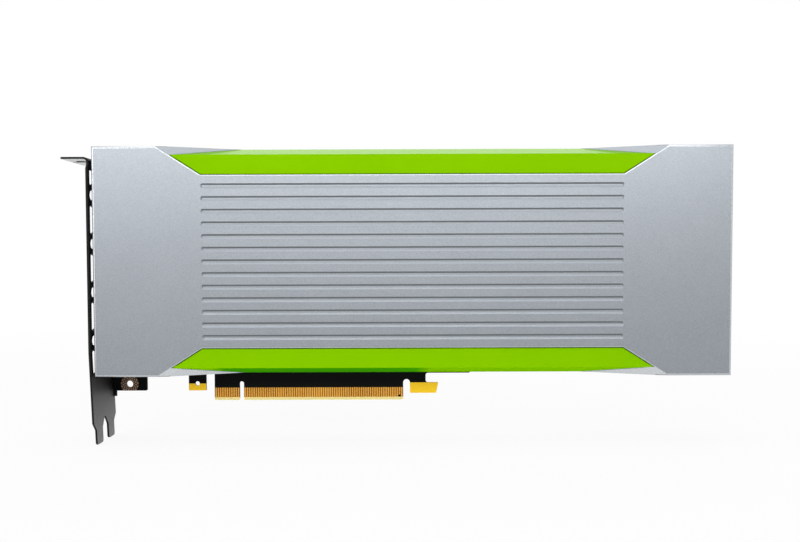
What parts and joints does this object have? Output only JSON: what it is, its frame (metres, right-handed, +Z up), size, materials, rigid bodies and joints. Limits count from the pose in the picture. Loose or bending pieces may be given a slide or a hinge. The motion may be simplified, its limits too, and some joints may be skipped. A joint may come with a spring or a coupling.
{
  "type": "passive accelerator card",
  "caption": "Dual-slot passive accelerator card: silver ribbed cover with green edge strips, slot bracket, gold edge connector, open ends for through airflow and a finned heatsink inside.",
  "frame": {"origin": "middle of the key notch of the edge connector, on the board's mid-plane, level with the foot of the connector", "axes": "+X along the card, away from the bracket; +Y from the ribbed cover face to the back of the board; +Z up, from the connector into the card"},
  "size_m": [0.279, 0.0389, 0.1251],
  "materials": {
    "silver": "fine-grained satin silver",
    "green_strip": "bright green, satin gloss",
    "bracket": "dark satin grey",
    "laminate": "matte black solder mask",
    "gold": "gold-plated",
    "copper": "bare copper",
    "silicon": "polished silicon",
    "steel": "plain sheet steel",
    "chip_black": "matte black moulding",
    "thermal_pad": "soft grey pad",
    "choke_grey": "pressed grey powder",
    "can": "bright aluminium can",
    "capacitor": "tan ceramic",
    "connector_black": "black moulded nylon",
    "black_metal": "black coated casting",
    "block_metal": "plain machined aluminium",
    "fin_metal": "plain folded aluminium",
    "backplate": "matte black anodised",
    "screw": "black oxide"
  },
  "bodies": {
    "root": {"cover": "silver", "corner_blocks": "block_metal", "top_accent": "green_strip", "bottom_accent": "green_strip", "bracket": "bracket", "circuit_board": "laminate", "front_contacts": "gold", "back_contacts": "gold", "hook_plating": "gold", "tab_plating": "gold", "ground_rings": "copper", "processor_substrate": "laminate", "processor_die": "silicon", "processor_stiffener": "steel", "memory_chips": "chip_black", "memory_pads": "thermal_pad", "power_stages": "chip_black", "stage_pads": "thermal_pad", "chokes": "choke_grey", "choke_pads": "thermal_pad", "output_capacitors": "chip_black", "bulk_capacitors": "can", "input_chokes": "choke_grey", "small_capacitors": "capacitor", "power_connector": "connector_black", "power_pins": "gold", "cooling_frame": "black_metal", "fin_base": "fin_metal", "vapor_chamber": "copper", "heatsink_fins": "fin_metal", "backplate": "backplate", "retention_plate": "steel", "cover_screws": "screw", "frame_screws": "screw", "ear_screws": "screw", "retention_screws": "screw"}
  },
  "joints": []
}
